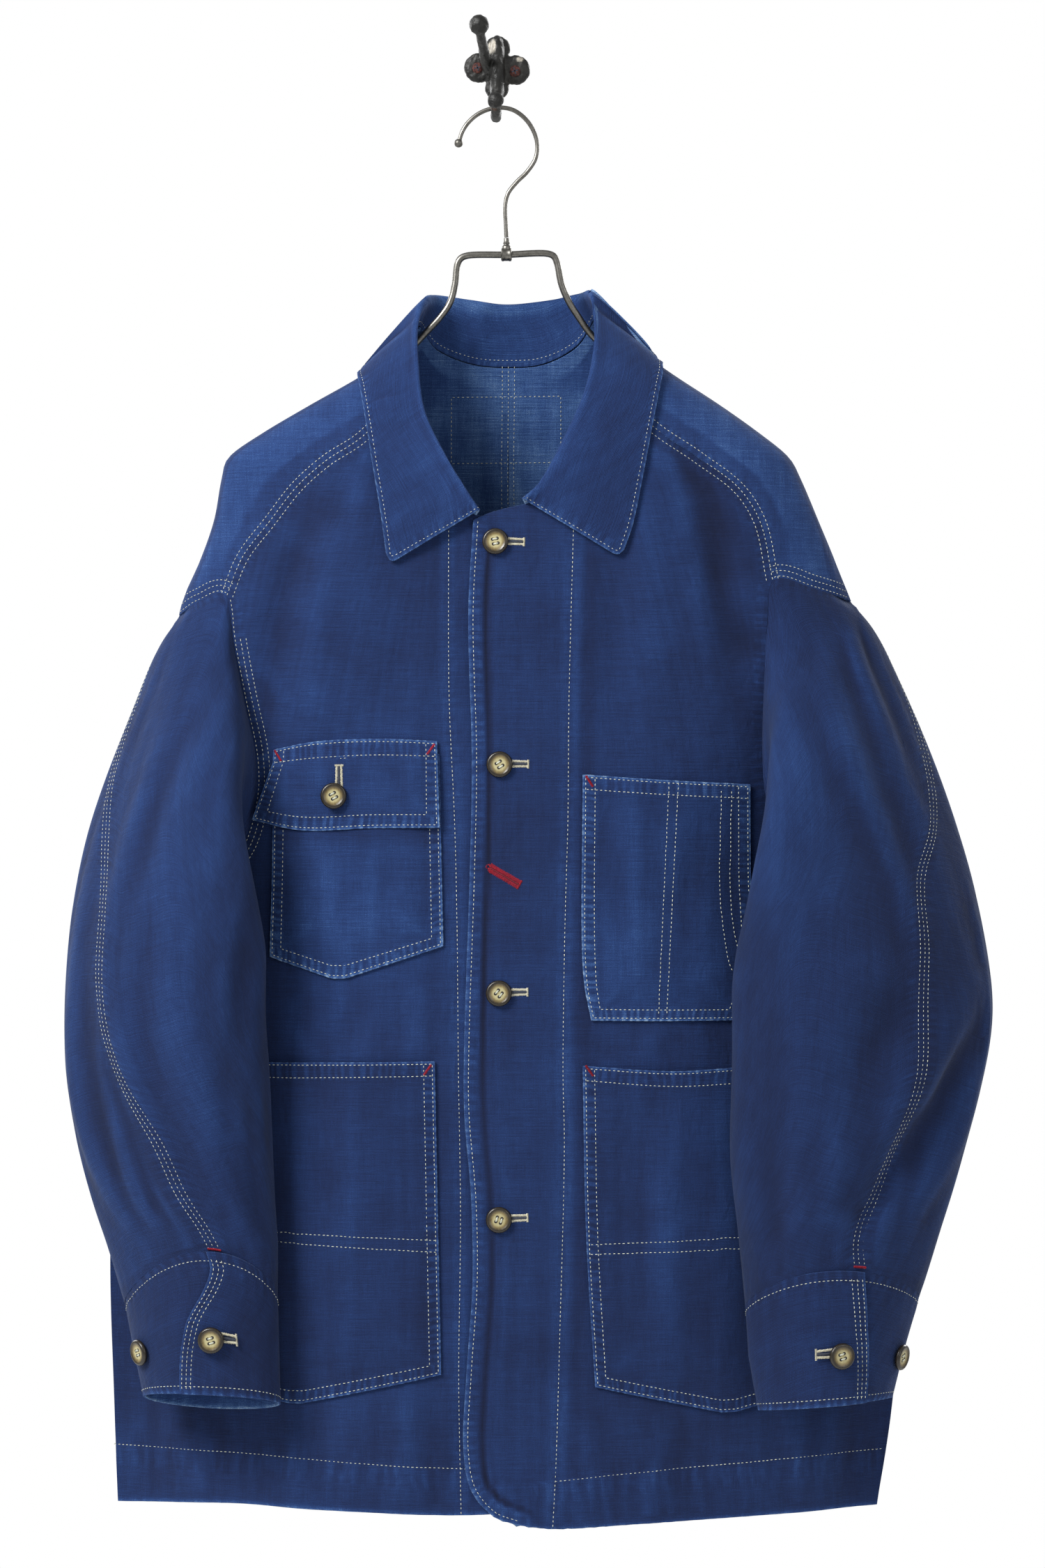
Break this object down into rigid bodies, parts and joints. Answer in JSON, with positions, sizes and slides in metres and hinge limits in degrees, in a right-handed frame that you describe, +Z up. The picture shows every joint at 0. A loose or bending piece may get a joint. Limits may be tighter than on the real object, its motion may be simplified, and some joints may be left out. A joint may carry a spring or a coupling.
{
  "type": "chore jacket on a hanger and wall hook",
  "caption": "Hip-length workwear jacket in cotton canvas with a shirt collar, patch pockets and buttoned front, hanging on a wire hanger from a cast wall hook.",
  "frame": {"origin": "centre of the wall hook's plate, on its flat back face against the wall", "axes": "+Z up, +Y into the wall, +X to the right of someone facing the jacket's front; the jacket hangs in front of the wall, at negative Y"},
  "size_m": [0.6236, 0.1496, 1.0286],
  "materials": {
    "body_canvas": "matt ribbed cotton canvas, washed, with worn seams",
    "collar_canvas": "matt ribbed cotton canvas, washed lighter at the fold and edge",
    "pocket_canvas": "matt ribbed cotton canvas, washed, with worn seams",
    "trim_canvas": "matt ribbed cotton canvas, a little darker",
    "horn_buttons": "satin horn, cream in the middle with a dark brown rim",
    "nickel_wire": "brushed nickel plate, a little warm",
    "cast_iron_hook": "blackened cast iron, worn grey on the rib and knob",
    "rusty_screws": "dull reddish steel"
  },
  "bodies": {
    "root": {"front_left": "body_canvas", "front_right": "body_canvas", "back_left": "body_canvas", "back_right": "body_canvas", "sleeve_top_left": "body_canvas", "sleeve_top_right": "body_canvas", "sleeve_under_left": "body_canvas", "sleeve_under_right": "body_canvas", "cuff_left": "trim_canvas", "cuff_right": "trim_canvas", "collar": "collar_canvas", "chest_pocket_right": "pocket_canvas", "chest_flap_right": "pocket_canvas", "chest_pocket_left": "pocket_canvas", "lower_pocket_right": "pocket_canvas", "lower_pocket_left": "pocket_canvas", "front_button_1": "horn_buttons", "front_button_2": "horn_buttons", "front_button_3": "horn_buttons", "front_button_4": "horn_buttons", "flap_button": "horn_buttons", "cuff_button_right_1": "horn_buttons", "cuff_button_right_2": "horn_buttons", "cuff_button_left_1": "horn_buttons", "cuff_button_left_2": "horn_buttons", "hanger_hook": "nickel_wire", "hanger_frame": "nickel_wire", "ferrule": "nickel_wire", "wall_hook": "cast_iron_hook", "screw_right": "rusty_screws", "screw_left": "rusty_screws"}
  },
  "joints": []
}
